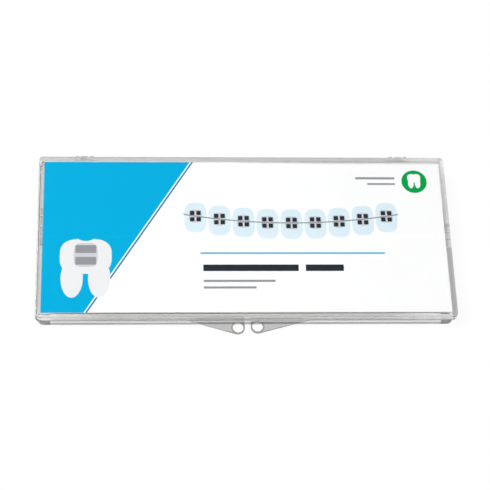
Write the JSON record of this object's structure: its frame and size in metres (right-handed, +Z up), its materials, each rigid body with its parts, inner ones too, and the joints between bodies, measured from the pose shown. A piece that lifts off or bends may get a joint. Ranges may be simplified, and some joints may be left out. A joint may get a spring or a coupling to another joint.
{
  "type": "hinged bracket case",
  "caption": "Flat clear hinged case with a printed card under its lid, two front finger tabs, and rows of small dental brackets on a foam-backed card inside.",
  "frame": {"origin": "middle of the case's flat underside", "axes": "+X along the case to the right, +Y from the finger tabs to the hinges, +Z up through the lid"},
  "size_m": [0.175, 0.0833, 0.0095],
  "materials": {
    "clear_plastic": "gloss",
    "printed_card": "satin",
    "placement_card": "matte",
    "foam": "matte",
    "sticky_film": "satin",
    "bracket_steel": "satin"
  },
  "bodies": {
    "base": {"case_base": "clear_plastic", "foam_pad": "foam", "placement_card": "placement_card", "sticky_strip_upper": "sticky_film", "sticky_strip_lower": "sticky_film", "bracket_upper_right_1": "bracket_steel", "bracket_upper_right_2": "bracket_steel", "bracket_upper_right_3": "bracket_steel", "bracket_upper_right_4": "bracket_steel", "bracket_upper_right_5": "bracket_steel", "bracket_upper_left_1": "bracket_steel", "bracket_upper_left_2": "bracket_steel", "bracket_upper_left_3": "bracket_steel", "bracket_upper_left_4": "bracket_steel", "bracket_upper_left_5": "bracket_steel", "bracket_lower_right_1": "bracket_steel", "bracket_lower_right_2": "bracket_steel", "bracket_lower_right_3": "bracket_steel", "bracket_lower_right_4": "bracket_steel", "bracket_lower_right_5": "bracket_steel", "bracket_lower_left_1": "bracket_steel", "bracket_lower_left_2": "bracket_steel", "bracket_lower_left_3": "bracket_steel", "bracket_lower_left_4": "bracket_steel", "bracket_lower_left_5": "bracket_steel"},
    "lid": {"case_lid": "clear_plastic", "lid_card": "printed_card"}
  },
  "joints": [
    {"name": "lid_hinge", "type": "hinge", "parent": "base", "child": "lid", "pos_m": [0, 0.0388, 0.0055], "axis": [-1, 0, 0], "range_deg": [0, 180]}
  ]
}
